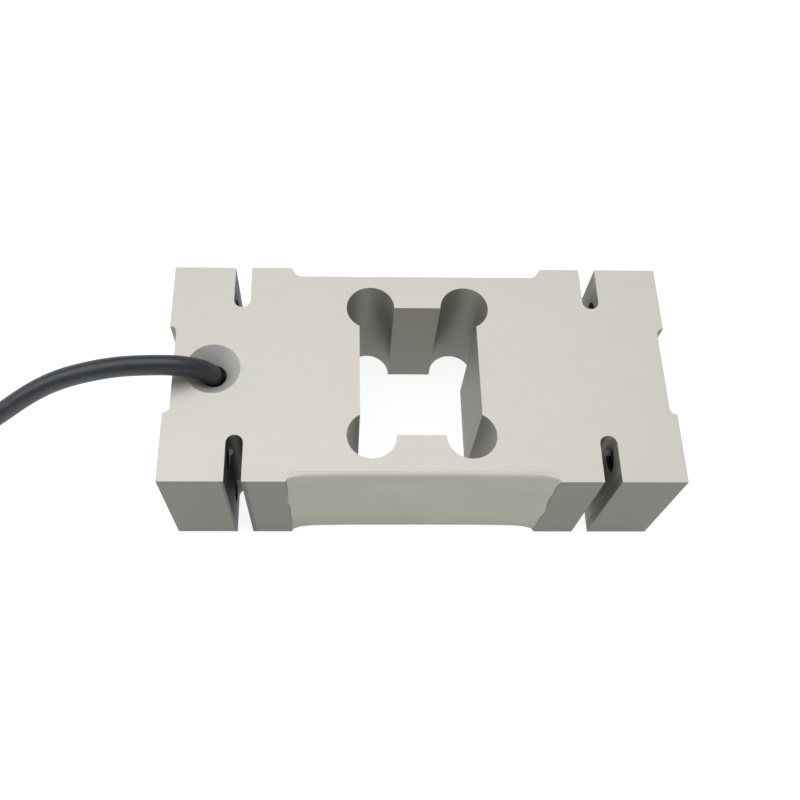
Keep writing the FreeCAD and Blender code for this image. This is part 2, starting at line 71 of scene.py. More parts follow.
class Bench:
    """Adds and joins the shader nodes of one material."""

    def __init__(self, name: str) -> None:
        """Starts a material with only its output node.

        Args:
            name: the material's name.
        """
        self.material = bpy.data.materials.new(name)
        self.material.use_nodes = True
        self.tree = self.material.node_tree
        self.tree.nodes.clear()
        self.output = self.tree.nodes.new("ShaderNodeOutputMaterial")

    def add(self, kind: str, **settings: object) -> bpy.types.Node:
        """Adds a node.

        Args:
            kind: the node's type, without its ShaderNode prefix.
            **settings: attributes of the node.

        Returns:
            The node.
        """
        node = self.tree.nodes.new("ShaderNode" + kind)
        for name, value in settings.items():
            setattr(node, name, value)
        return node

    def join(self, source: Socket, target: Socket) -> None:
        """Links an output to an input."""
        self.tree.links.new(source, target)

    def coordinates(self) -> Socket:
        """The place of a point on the piece, in metres."""
        return self.add("TexCoord").outputs["Object"]

    def stretched(self, scale: Point) -> Socket:
        """Object coordinates scaled by axis.

        Args:
            scale: the scale along X, Y and Z.

        Returns:
            The mapped vector.
        """
        mapping = self.add("Mapping")
        mapping.inputs["Scale"].default_value = scale
        self.join(self.coordinates(), mapping.inputs["Vector"])
        return mapping.outputs["Vector"]

    def noise(self, scale: Point, detail: float = 2.0, roughness: float = 0.5) -> Socket:
        """Smooth noise.

        Args:
            scale: how often it repeats a metre, by axis.
            detail: its octaves.
            roughness: the weight of its finer octaves.

        Returns:
            The noise, around one half.
        """
        node = self.add("TexNoise")
        node.inputs["Scale"].default_value = 1.0
        node.inputs["Detail"].default_value = detail
        node.inputs["Roughness"].default_value = roughness
        self.join(self.stretched(scale), node.inputs["Vector"])
        return node.outputs["Fac"]

    def span(self, value: Socket, start: Sequence[float], end: Sequence[float]) -> Socket:
        """Maps a value from one range to another, clamped.

        Args:
            value: what is mapped.
            start: the range that it comes from.
            end: the range that it goes to.

        Returns:
            The mapped value.
        """
        node = self.add("MapRange")
        self.join(value, node.inputs["Value"])
        for name, number in zip(("From Min", "From Max", "To Min", "To Max"), (*start, *end)):
            node.inputs[name].default_value = number
        return node.outputs["Result"]

    def sum(self, first: Socket, second: Socket, how: str = "ADD") -> Socket:
        """Two values added, or taken together as another operation says."""
        node = self.add("Math", operation=how)
        self.join(first, node.inputs[0])
        self.join(second, node.inputs[1])
        return node.outputs["Value"]

    def blend(self, share: Socket, first: Socket | Colour, second: Socket | Colour) -> Socket:
        """Two colours mixed.

        Args:
            share: how much of the second is taken.
            first: a colour or a socket.
            second: a colour or a socket.

        Returns:
            The mixed colour.
        """
        node = self.add("Mix", data_type="RGBA")
        self.join(share, node.inputs["Factor"])
        # the colour pair of a Mix node are its seventh and eighth inputs
        for socket, colour in zip((node.inputs[6], node.inputs[7]), (first, second)):
            if isinstance(colour, Socket):
                self.join(colour, socket)
            else:
                socket.default_value = (*colour, 1.0)
        return node.outputs[2]

    def bump(self, height: Socket, depth: float) -> Socket:
        """A bumped normal.

        Args:
            height: the relief, from 0 to 1.
            depth: the relief's depth in metres.

        Returns:
            The normal.
        """
        node = self.add("Bump")
        node.inputs["Distance"].default_value = depth
        self.join(height, node.inputs["Height"])
        return node.outputs["Normal"]

    def principled(self, **values: object) -> bpy.types.Node:
        """The surface's shader, joined to the output.

        Args:
            **values: its inputs, by name with underscores for spaces, as numbers, colours or sockets.

        Returns:
            The shader node.
        """
        shader = self.add("BsdfPrincipled")
        for name, value in values.items():
            socket = shader.inputs[name.replace("_", " ")]
            if isinstance(value, Socket):
                self.join(value, socket)
            elif isinstance(value, tuple):
                socket.default_value = (*value, 1.0)
            else:
                socket.default_value = value
        self.join(shader.outputs["BSDF"], self.output.inputs["Surface"])
        return shader


@dataclass(frozen=True)
class MachinedAluminium:
    """Bare milled aluminium: fine lines along the beam on its broad faces, plainer on its walls, which are
    coloured darker partly for their plainer finish and partly as painted shade.
    """

    warm: Colour = (0.572, 0.552, 0.494)
    cool: Colour = (0.555, 0.549, 0.506)
    rosy: Colour = (0.572, 0.534, 0.500)
    # the walls' colour: partly their plainer finish, partly painted shade for faces turned away from the
    # overhead light
    shaded_wall: Colour = (0.370, 0.366, 0.325)
    # painted shade: near black for the walls of the left end's slots, which lie in shadow
    slot_shade: Colour = (0.150, 0.148, 0.145)
    # painted shade: the two long faces get a darker colour than the other walls, for the light that falls
    # on them
    shaded_long_face: Colour = (0.245, 0.243, 0.214)
    turned: Colour = (0.56, 0.56, 0.54)
    speck: Colour = (0.16, 0.15, 0.13)
    roughness: float = 0.46
    wall_roughness: float = 0.52
    metallic: float = 0.50
    turned_metallic: float = 0.30
    line_depth: float = 0.0012 * MM
    # where the long faces' painted shade begins, and how wide its blend is
    long_face_shade_y: float = 32.6 * MM
    long_face_shade_blend: float = 0.5 * MM
    # the X span of the left end's slots, whose walls get painted shade
    shaded_slots_x: tuple[float, float] = (-57.0 * MM, -50.0 * MM)
    slot_shade_blend: float = 0.1 * MM

    def material(self, name: str) -> bpy.types.Material:
        """Makes the material.

        Args:
            name: its name.

        Returns:
            The material.
        """
        bench = Bench(name)
        upright = self.uprightness(bench)
        broad = bench.span(upright, (0.85, 0.95), (0.0, 1.0))
        not_wall = bench.span(upright, (0.3, 0.5), (0.0, 1.0))
        turned_share = bench.sum(not_wall, broad, "SUBTRACT")
        # walls take a darker colour than the broad faces: partly their finish, partly painted shade
        metal = bench.blend(not_wall, self.wall_colour(bench), self.broad_colour(bench))
        metal = bench.blend(turned_share, metal, self.turned)
        specks = bench.noise((1500.0, 1500.0, 1500.0), detail=1.0)
        colour = bench.blend(bench.span(specks, (0.76, 0.82), (0.0, 0.5)), metal, self.speck)
        lines = bench.noise((70.0, 5200.0, 5200.0), detail=2.0, roughness=0.6)
        relief = bench.sum(lines, broad, "MULTIPLY")
        rough = bench.span(not_wall, (0.0, 1.0), (self.wall_roughness, self.roughness))
        rough = bench.sum(rough, bench.span(relief, (0.0, 1.0), (0.03, -0.03)))
        metallic = bench.span(turned_share, (0.0, 1.0), (self.metallic, self.turned_metallic))
        bench.principled(Base_Color=colour, Metallic=metallic, Roughness=rough,
                         Normal=bench.bump(relief, self.line_depth))
        return bench.material

    def uprightness(self, bench: Bench) -> Socket:
        """How nearly a face looks straight up or down, from 0 to 1."""
        normal = bench.add("SeparateXYZ")
        bench.join(bench.add("TexCoord").outputs["Normal"], normal.inputs[0])
        size = bench.add("Math", operation="ABSOLUTE")
        bench.join(normal.outputs["Z"], size.inputs[0])
        return size.outputs["Value"]

    def broad_colour(self, bench: Bench) -> Socket:
        """The broad faces' colour: patches of warmer, cooler and rosy metal, streaked along the beam."""
        patches = bench.noise((18.0, 30.0, 30.0), detail=2.0)
        metal = bench.blend(bench.span(patches, (0.35, 0.65), (0.0, 1.0)), self.warm, self.cool)
        stains = bench.noise((32.0, 48.0, 48.0), detail=2.0)
        metal = bench.blend(bench.span(stains, (0.52, 0.70), (0.0, 0.8)), metal, self.rosy)
        streaks = bench.noise((40.0, 1900.0, 1900.0), detail=3.0, roughness=0.6)
        darker = tuple(channel * 0.94 for channel in self.warm)
        return bench.blend(bench.span(streaks, (0.35, 0.70), (0.0, 0.55)), metal, darker)

    def wall_colour(self, bench: Bench) -> Socket:
        """The walls' colour, with painted shade: darker on the two long faces, and darker still on the
        walls of the left end's slots.
        """
        place = bench.add("SeparateXYZ")
        bench.join(bench.coordinates(), place.inputs[0])
        size = bench.add("Math", operation="ABSOLUTE")
        bench.join(place.outputs["Y"], size.inputs[0])
        begins = self.long_face_shade_y
        outside = bench.span(size.outputs["Value"], (begins, begins + self.long_face_shade_blend), (0.0, 1.0))
        start, end = (bench.span(place.outputs["X"], (edge, edge + self.slot_shade_blend), (0.0, 1.0))
                      for edge in self.shaded_slots_x)
        # painted shade on the two long faces
        walls = bench.blend(outside, self.shaded_wall, self.shaded_long_face)
        # painted shade on the walls of the left end's slots
        return bench.blend(bench.sum(start, end, "SUBTRACT"), walls, self.slot_shade)


@dataclass(frozen=True)
class Silicone:
    """Cast grey-green silicone, satin, with faint clouds."""

    base: Colour = (0.665, 0.655, 0.545)
    cloud: Colour = (0.690, 0.680, 0.575)
    roughness: float = 0.55
    gloss: float = 0.30

    def material(self, name: str) -> bpy.types.Material:
        """Makes the material called name."""
        bench = Bench(name)
        clouds = bench.noise((40.0, 40.0, 60.0), detail=3.0)
        grain = bench.noise((900.0, 900.0, 900.0), detail=2.0)
        colour = bench.blend(bench.span(clouds, (0.35, 0.65), (0.0, 1.0)), self.base, self.cloud)
        rough = bench.span(clouds, (0.3, 0.7), (self.roughness + 0.06, self.roughness - 0.06))
        bench.principled(Base_Color=colour, Roughness=rough, Specular_IOR_Level=self.gloss,
                         Normal=bench.bump(grain, 0.01 * MM))
        return bench.material


@dataclass(frozen=True)
class Sheath:
    """Extruded cable sheath: near black, with a soft broken sheen."""

    base: Colour = (0.005, 0.010, 0.018)
    worn: Colour = (0.014, 0.020, 0.025)
    roughness: float = 0.40
    gloss: float = 0.75

    def material(self, name: str) -> bpy.types.Material:
        """Makes the material called name."""
        bench = Bench(name)
        scuffs = bench.noise((160.0, 160.0, 160.0), detail=4.0, roughness=0.6)
        grain = bench.noise((1400.0, 1400.0, 1400.0), detail=2.0)
        colour = bench.blend(bench.span(scuffs, (0.45, 0.75), (0.0, 1.0)), self.base, self.worn)
        rough = bench.span(scuffs, (0.3, 0.7), (self.roughness - 0.04, self.roughness + 0.08))
        bench.principled(Base_Color=colour, Roughness=rough, Specular_IOR_Level=self.gloss,
                         Normal=bench.bump(grain, 0.012 * MM))
        return bench.material


@dataclass(frozen=True)
class Moulded:
    """Plain plastic or rubber with a fine grain and a slight mottle."""

    base: Colour
    roughness: float = 0.4
    mottle: float = 0.12
    transmission: float = 0.0

    def material(self, name: str) -> bpy.types.Material:
        """Makes the material called name."""
        bench = Bench(name)
        clouds = bench.noise((220.0, 220.0, 220.0), detail=3.0)
        grain = bench.noise((2200.0, 2200.0, 2200.0), detail=1.0)
        darker = tuple(channel * (1 - self.mottle) for channel in self.base)
        colour = bench.blend(bench.span(clouds, (0.35, 0.65), (0.0, 1.0)), self.base, darker)
        rough = bench.span(grain, (0.3, 0.7), (self.roughness - 0.05, self.roughness + 0.05))
        bench.principled(Base_Color=colour, Roughness=rough, Transmission_Weight=self.transmission,
                         Normal=bench.bump(grain, 0.008 * MM))
        return bench.material


@dataclass(frozen=True)
class Foil:
    """Etched metal foil in a tinted film: bright lines over a dark or amber ground."""

    ground: Colour
    metal: Colour = (0.60, 0.46, 0.30)
    lines_a_metre: float = 1800.0

    def material(self, name: str) -> bpy.types.Material:
        """Makes the material called name."""
        bench = Bench(name)
        wave = bench.add("TexWave", wave_type="BANDS", bands_direction="Z")
        wave.inputs["Scale"].default_value = 1.0
        bench.join(bench.stretched((0.0, 0.0, self.lines_a_metre)), wave.inputs["Vector"])
        lines = bench.span(wave.outputs["Fac"], (0.45, 0.55), (0.0, 1.0))
        colour = bench.blend(lines, self.ground, self.metal)
        metallic = bench.span(lines, (0.0, 1.0), (0.0, 0.9))
        bench.principled(Base_Color=colour, Metallic=metallic, Roughness=0.32,
                         Normal=bench.bump(lines, 0.01 * MM))
        return bench.material


@dataclass(frozen=True)
class TinnedMetal:
    """Tinned copper and solder: bright, slightly uneven."""

    base: Colour = (0.72, 0.71, 0.69)
    roughness: float = 0.28

    def material(self, name: str) -> bpy.types.Material:
        """Makes the material called name."""
        bench = Bench(name)
        ripples = bench.noise((1100.0, 1100.0, 1100.0), detail=3.0)
        rough = bench.span(ripples, (0.3, 0.7), (self.roughness - 0.06, self.roughness + 0.12))
        bench.principled(Base_Color=self.base, Metallic=1.0, Roughness=rough,
                         Normal=bench.bump(ripples, 0.03 * MM))
        return bench.material


@dataclass(frozen=True)
class ShadedCutThread:
    """Tapped aluminium with a trace of oil, coloured far darker than the beam as painted shade inside the
    holes.
    """

    # painted shade: far darker than the beam's aluminium, for the shade inside the holes
    base: Colour = (0.115, 0.115, 0.120)
    roughness: float = 0.34

    def material(self, name: str) -> bpy.types.Material:
        """Makes the material called name."""
        bench = Bench(name)
        smears = bench.noise((900.0, 900.0, 900.0), detail=2.0)
        rough = bench.span(smears, (0.3, 0.7), (self.roughness - 0.08, self.roughness + 0.10))
        bench.principled(Base_Color=self.base, Metallic=1.0, Roughness=rough)
        return bench.material


class FinishBook:
    """The finish of each material slot of the record, made once."""

    def __init__(self) -> None:
        """Makes every finish."""
        recipes = {
            "machined_aluminium": MachinedAluminium(),
            "silicone_potting": Silicone(),
            "board_laminate": Moulded((0.50, 0.34, 0.09), 0.35),
            "gauge_foil": Foil((0.42, 0.22, 0.04)),
            "resistor_foil": Foil((0.05, 0.03, 0.02), (0.36, 0.30, 0.24), 2600.0),
            "tinned_copper": TinnedMetal(),
            "insulation_red": Moulded((0.50, 0.025, 0.02), 0.38),
            "insulation_black": Moulded((0.018, 0.018, 0.02), 0.38),
            "insulation_green": Moulded((0.02, 0.24, 0.07), 0.38),
            "insulation_white": Moulded((0.72, 0.72, 0.69), 0.38),
            "insulation_clear": Moulded((0.60, 0.58, 0.50), 0.22, 0.05, 0.35),
            "sealing_compound": Moulded((0.012, 0.012, 0.013), 0.5),
            "cable_sheath": Sheath(),
            "tie_nylon": Moulded((0.70, 0.69, 0.64), 0.34, 0.05, 0.15),
        }
        self.made = {slot: recipe.material(slot) for slot, recipe in recipes.items()}
        # the threads' finish, with painted shade inside the holes
        self.made["shaded_cut_thread"] = ShadedCutThread().material("shaded_cut_thread")

    def dress(self, piece: bpy.types.Object, slot: str, finish: str = "") -> None:
        """Gives a new piece the finish of its slot, or the finish given in its place.

        Args:
            piece: the piece.
            slot: the record's material slot.
            finish: the finish, where it isn't the slot's own.
        """
        piece.data.materials.clear()
        piece.data.materials.append(self.made[finish or slot])

    def dress_nodes(self, nodes: dict[str, bpy.types.Object], rows: Iterable[dict]) -> None:
        """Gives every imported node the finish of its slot.

        Args:
            nodes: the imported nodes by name.
            rows: the record's list of sub-parts.
        """
        for row in rows:
            piece = nodes[row["node"]]
            for holder in piece.material_slots:
                holder.material = self.made[row["material_slot"]]
            log.info("%s: %s", row["node"], row["material_slot"])


# ---------------------------------------------------------------- making pieces


def into_piece(mesh: bmesh.types.BMesh, name: str, smooth: bool = True,
               sharp_deg: float = 40.0) -> bpy.types.Object:
    """Finishes a mesh and makes it a piece in the scene.

    Args:
        mesh: the mesh, which is used up.
        name: the piece's name.
        smooth: whether its faces are shaded smooth.
        sharp_deg: edges that turn by more than this stay sharp.

    Returns:
        The piece, with its object at the origin.
    """
    bmesh.ops.remove_doubles(mesh, verts=mesh.verts, dist=MERGE_DISTANCE)
    bmesh.ops.recalc_face_normals(mesh, faces=mesh.faces)
    for face in mesh.faces:
        face.smooth = smooth
    for edge in mesh.edges:
        if len(edge.link_faces) == 2 and edge.calc_face_angle() > math.radians(sharp_deg):
            edge.smooth = False
    data = bpy.data.meshes.new(name)
    mesh.to_mesh(data)
    mesh.free()
    piece = bpy.data.objects.new(name, data)
    bpy.context.scene.collection.objects.link(piece)
    return piece


def nurbs_cord(name: str, points: Sequence[Vector], diameter: float, steps: int,
               sides: int) -> bpy.types.Object:
    """A round cord whose centreline is one open smooth curve.

    Args:
        name: the piece's name.
        points: the curve's control points.
        diameter: the cord's diameter.
        steps: pieces of curve a control point.
        sides: the bevel's resolution.

    Returns:
        The curve object.
    """
    curve = bpy.data.curves.new(name, "CURVE")
    curve.dimensions = "3D"
    spline = curve.splines.new("NURBS")
    spline.points.add(len(points) - 1)
    for holder, point in zip(spline.points, points):
        holder.co = (*point, 1.0)
    spline.order_u = 3
    spline.use_endpoint_u = True
    curve.resolution_u = steps
    curve.bevel_depth = diameter / 2
    curve.bevel_resolution = sides
    curve.use_fill_caps = True
    piece = bpy.data.objects.new(name, curve)
    bpy.context.scene.collection.objects.link(piece)
    return piece


def bevelled_block(mesh: bmesh.types.BMesh, size: Point, centre: Point, radius: float) -> None:
    """Adds a block with rounded edges.

    Args:
        mesh: the mesh that it is added to.
        size: its length, width and height.
        centre: its centre.
        radius: its edges' radius.
    """
    place = Matrix.Translation(centre) @ Matrix.Diagonal((*size, 1.0))
    made = bmesh.ops.create_cube(mesh, size=1.0, matrix=place)
    edges = list({edge for vert in made["verts"] for edge in vert.link_edges})
    bmesh.ops.bevel(mesh, geom=edges, offset=radius, offset_type="OFFSET", affect="EDGES",
                    segments=3, profile=0.5, material=-1)


# ---------------------------------------------------------------- cable


@dataclass
class SignalCable:
    """The signal cable: out of its bore, over the end of the beam and into its put-away oval coil."""

    diameter: float = 6.0 * MM
    whole_length: float = 1.0
    leaves_at: Point = (-0.06125, 0.0, 0.0385)
    route: tuple[Point, ...] = (
        (-0.06125, 0.0, 0.0313),
        (-0.06125, 0.0, 0.0389),
        (-0.0644, -0.0011, 0.0452),
        (-0.0702, -0.0020, 0.0490),
        (-0.0786, -0.0026, 0.0504),
        (-0.0915, -0.0031, 0.0496),
        (-0.1100, -0.0050, 0.0436),
        (-0.1290, -0.0122, 0.0316),
        (-0.1440, -0.0163, 0.0217),
        (-0.1575, -0.0170, 0.01605),
        (-0.1705, -0.0170, 0.01605),
    )
    centre_x: float = -0.2245
    half_run: float = 52.0 * MM
    fold_radius: float = 17.0 * MM
    layers: int = 3
    lowest: float = 4.05 * MM
    end_past_centre: float = 10.0 * MM
    points_a_run: int = 5
    points_a_fold: int = 9
    steps_a_point: int = 6
    bevel_sides: int = 6

    def loop(self, top: float) -> list[Vector]:
        """One loop, from the right of its front run, clockwise, sinking by a layer in its last fold.

        Args:
            top: the height of its centreline before it sinks.

        Returns:
            The loop's control points.
        """
        radius = self.fold_radius
        gaps = self.points_a_run - 1
        run = [self.half_run * (1 - 2 * number / gaps) for number in range(self.points_a_run)]
        fold = [math.pi * number / (self.points_a_fold + 1) for number in range(1, self.points_a_fold + 1)]
        points = [Vector((x, -radius, top)) for x in run]
        for turn in fold:
            x = -self.half_run - radius * math.sin(turn)
            points.append(Vector((x, -radius * math.cos(turn), top)))
        points += [Vector((-x, radius, top)) for x in run]
        for turn in fold:
            x = self.half_run + radius * math.sin(turn)
            height = top - self.diameter * ease(turn / math.pi)
            points.append(Vector((x, radius * math.cos(turn), height)))
        return points

    def centreline(self) -> list[Vector]:
        """Every control point: the route, then the coil's loops, the last one stopping on its rear run."""
        points = [Vector(point) for point in self.route]
        centre = Vector((self.centre_x, 0.0, 0.0))
        for number in range(self.layers):
            height = self.lowest + (self.layers - 1 - number) * self.diameter
            turns = [centre + point for point in self.loop(height)]
            if number == self.layers - 1:
                on_rear_run = self.points_a_run + self.points_a_fold
                turns = turns[:on_rear_run + 1 + self.points_a_run // 2]
                turns.append(centre + Vector((self.end_past_centre, self.fold_radius, height)))
            points += turns
        return points

    def build(self, book: FinishBook) -> bpy.types.Object:
        """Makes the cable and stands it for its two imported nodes.

        Args:
            book: the finishes.

        Returns:
            The cable.
        """
        cable = nurbs_cord("signal_cable", self.centreline(), self.diameter,
                           self.steps_a_point, self.bevel_sides)
        book.dress(cable, "cable_sheath")
        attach(cable, "root")
        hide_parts("cable_jacket", "cable_coil")
        return cable


def ease(share: float) -> float:
    """A smooth step from 0 to 1, held outside them."""
    held = min(max(share, 0.0), 1.0)
    return held * held * (3 - 2 * held)


@dataclass
class CableTie:
    """A nylon tie round one side of the coil: a band with rounded corners, its head and its cut tail."""

    node: str
    width: float = 2.5 * MM
    thickness: float = 0.9 * MM
    corner: float = 2.2 * MM
    head: Point = (4.6 * MM, 5.2 * MM, 3.2 * MM)
    tail: float = 1.4 * MM
    tail_in_head: float = 0.6 * MM
    tail_height_share: float = 0.45
    band_edge: float = 0.15 * MM
    head_edge: float = 0.45 * MM
    tail_edge: float = 0.2 * MM

    def build(self, book: FinishBook) -> bpy.types.Object:
        """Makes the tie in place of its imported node.

        Args:
            book: the finishes.

        Returns:
            The tie.
        """
        low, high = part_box(self.node)
        top = high.z - self.head[2] + self.thickness
        centre = Vector(((low.x + high.x) / 2, (low.y + high.y) / 2, (low.z + top) / 2))
        mesh = bmesh.new()
        section = Matrix.Translation(centre - Vector((self.width / 2, 0.0, 0.0)))
        section = section @ Matrix.Rotation(math.pi / 2, 4, "Y")
        section = section @ Matrix.Diagonal((top - low.z, high.y - low.y, 1.0, 1.0))
        bmesh.ops.create_grid(mesh, x_segments=1, y_segments=1, size=0.5, matrix=section)
        bmesh.ops.bevel(mesh, geom=mesh.verts[:], offset=self.corner, offset_type="OFFSET",
                        affect="VERTICES", segments=6, profile=0.5, material=-1)
        mesh.faces.ensure_lookup_table()
        middle = mesh.faces[0]
        bmesh.ops.inset_region(mesh, faces=[middle], thickness=self.thickness, use_even_offset=True)
        bmesh.ops.delete(mesh, geom=[middle], context="FACES_ONLY")
        made = bmesh.ops.extrude_face_region(mesh, geom=mesh.faces[:])
        moved = [part for part in made["geom"] if isinstance(part, bmesh.types.BMVert)]
        bmesh.ops.translate(mesh, verts=moved, vec=(self.width, 0.0, 0.0))
        rims = [edge for edge in mesh.edges if len(edge.link_faces) == 2
                and edge.calc_face_angle() > math.radians(80)]
        bmesh.ops.bevel(mesh, geom=rims, offset=self.band_edge, offset_type="OFFSET", affect="EDGES",
                        segments=2, profile=0.5, material=-1)
        head_centre = (centre.x, centre.y, high.z - self.head[2] / 2)
        bevelled_block(mesh, self.head, head_centre, self.head_edge)
        tail_size = (self.width, self.tail + self.tail_in_head, self.thickness)
        tail_y = centre.y + (self.head[1] + self.tail - self.tail_in_head) / 2
        tail_z = high.z - self.head[2] * self.tail_height_share
        bevelled_block(mesh, tail_size, (centre.x, tail_y, tail_z), self.tail_edge)
        tie = into_piece(mesh, self.node.replace("coil_tie", "nylon_tie"))
        book.dress(tie, "tie_nylon")
        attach(tie, "root")
        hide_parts(self.node)
        return tie


@dataclass
class FlyingLead:
    """One lead at the cable's far end: insulated, with a tinned tip, lying fanned out on the floor."""

    colour: str
    lateral: float
    drop: float
    row: int
    diameter: float = 1.1 * MM
    straight: float = 3.2 * MM
    run_down: float = 17.0 * MM
    run_flat: float = 15.0 * MM
    turn_in: float = 7.0 * MM
    spread: float = 1.2 * MM
    bare: float = 4.5 * MM
    bare_diameter: float = 0.7 * MM
    bare_inside: float = 1.0 * MM

    def points(self, cable: SignalCable) -> list[Vector]:
        """The lead's control points, out of the sheath and down to the floor."""
        end_x = cable.centre_x + cable.end_past_centre
        start = Vector((end_x, cable.fold_radius + self.lateral, cable.lowest + self.drop))
        out = start + Vector((self.straight, 0.0, 0.0))
        fan = self.row * self.spread
        down = Vector((start.x + self.run_down, start.y - self.turn_in + fan, self.diameter / 2))
        tip = down + Vector((self.run_flat, fan - self.turn_in, 0.0))
        return [start, out, down, tip]

    def build(self, book: FinishBook, cable: SignalCable) -> list[bpy.types.Object]:
        """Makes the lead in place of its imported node.

        Args:
            book: the finishes.
            cable: the cable that it comes out of.

        Returns:
            The insulated lead and its bare tip.
        """
        start, out, down, tip = self.points(cable)
        back = (down - tip).normalized()
        stripped = tip + back * self.bare
        insulated = nurbs_cord("flying_lead_" + self.colour, [start, out, down, stripped],
                               self.diameter, steps=10, sides=4)
        book.dress(insulated, "insulation_" + ("clear" if self.colour == "shield" else self.colour))
        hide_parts("lead_" + self.colour)
        inside = stripped + back * self.bare_inside
        bowed = (inside + tip) / 2 + UP * 0.05 * MM
        bare = nurbs_cord("bare_tip_" + self.colour, [inside, bowed, tip],
                          self.bare_diameter, steps=6, sides=3)
        book.dress(bare, "tinned_copper")
        for piece in (insulated, bare):
            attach(piece, "root")
        return [insulated, bare]


# ---------------------------------------------------------------- beam details


class Side(Enum):
    """The two gauge faces, by the sign of their Y."""

    FRONT = -1
    REAR = 1


@dataclass
class GaugePotting:
    """The cast silicone over one gauge recess: level in the middle, climbing its ends, edges rounded."""

    side: Side
    recess_depth: float = 3.05 * MM
    runout_deg: float = 58.0
    level: float = 1.25 * MM
    climb: float = 0.85 * MM
    climb_reach: float = 2.4 * MM
    creep: float = 0.5 * MM
    creep_reach: float = 9.0 * MM
    rim_width: float = 1.9 * MM
    rim_fall: float = 1.15 * MM
    rim_fall_at_ends: float = 0.25
    rim_end_reach: float = 5.0 * MM
    front_set_back: float = 0.06 * MM
    sunk_edge: float = 0.8 * MM
    sunk_width_at_ends: float = 4.2 * MM
    wander: float = 0.6 * MM
    waves_a_metre: tuple[float, float] = (210.0, 470.0)
    film: float = 0.03 * MM
    segments: tuple[int, int] = (150, 64)

    def height(self, from_end: float) -> float:
        """Thickness of the silicone over the recess floor, by the distance from the recess's end."""
        climb = self.climb * math.exp(-from_end / self.climb_reach)
        return self.level + climb + self.creep * math.exp(-from_end / self.creep_reach)

    def set_back(self) -> float:
        """How far the silicone stops short of the beam's side faces: further at the rear."""
        return self.sunk_edge if self.side is Side.REAR else self.front_set_back

    def rim_height(self, height: float, from_rim: float, from_end: float) -> float:
        """The skin's height near a long edge: rounded at the front, a soft slope at the rear.

        Args:
            height: the skin's height away from the edge.
            from_rim: the distance from the beam's side face.
            from_end: the distance from the recess's end.

        Returns:
            The height.
        """
        inwards = from_rim - self.set_back()
        near_end = 1 - ease(from_end / self.rim_end_reach)
        if self.side is Side.REAR:
            width = self.rim_width + (self.sunk_width_at_ends - self.rim_width) * near_end
            return height * ease(inwards / width)
        share = 1 - min(max(inwards / self.rim_width, 0.0), 1.0)
        fall = self.rim_fall * (1 - (1 - self.rim_fall_at_ends) * near_end)
        return height - fall * (1 - math.sqrt(1 - share * share))

    def wobble(self, end: int, across: float) -> float:
        """How far the silicone stops short of the recess's end, by the place across the beam."""
        slow, quick = self.waves_a_metre
        wave = math.sin(across * slow + 1.3 * end) + 0.6 * math.sin(across * quick + 2.1 * end)
        return self.wander * (0.5 + 0.3 * wave)

    def skin_point(self, x: float, z: float, end_x: float, width: float) -> Vector:
        """The skin's point over a place of the recess floor, as seen from the front side.

        Args:
            x: the place along the recess, from -1 to 1 between its ends.
            z: the place across the beam.
            end_x: half the recess's length at its mouth.
            width: the beam's thickness.

        Returns:
            The point, with its Y as the height over the floor.
        """
        end = 1 if x > 0 else -1
        reach = end_x - self.wobble(end, z)
        along = reach * x
        from_end = end_x - abs(along)
        runout = self.recess_depth - from_end * math.tan(math.radians(self.runout_deg))
        height = self.rim_height(self.height(from_end), min(z, width - z), from_end)
        return Vector((along, max(height, max(runout, 0.0) + self.film), z))

    def build(self, book: FinishBook, node: str, floor_y: float, width: float) -> bpy.types.Object:
        """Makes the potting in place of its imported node.

        Args:
            book: the finishes.
            node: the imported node's name.
            floor_y: the recess floor's distance from the middle plane.
            width: the beam's thickness.

        Returns:
            The potting.
        """
        low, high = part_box(node)
        end_x = (high.x - low.x) / 2
        mesh = bmesh.new()
        bmesh.ops.create_grid(mesh, x_segments=self.segments[0], y_segments=self.segments[1], size=1.0)
        for vert in mesh.verts:
            x = spread_ends(vert.co.x)
            z = width / 2 + (width / 2 - self.set_back()) * spread_ends(vert.co.y)
            vert.co = self.skin_point(x, z, end_x, width)
        made = bmesh.ops.extrude_face_region(mesh, geom=mesh.faces[:])
        under = [part for part in made["geom"] if isinstance(part, bmesh.types.BMVert)]
        slope = math.tan(math.radians(self.runout_deg))
        for vert in under:
            from_end = end_x - abs(vert.co.x)
            vert.co.y = max(0.0, self.recess_depth - from_end * slope)
        sign = self.side.value
        for vert in mesh.verts:
            vert.co.y = sign * (floor_y + vert.co.y)
        piece = into_piece(mesh, node.replace("potting", "silicone"), sharp_deg=60.0)
        book.dress(piece, "silicone_potting")
        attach(piece, "root")
        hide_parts(node)
        return piece


def spread_ends(share: float) -> float:
    """Moves places between -1 and 1 towards both ends, where a surface curves most."""
    crowding = 1.9
    return math.copysign(1 - (1 - abs(share)) ** crowding, share)


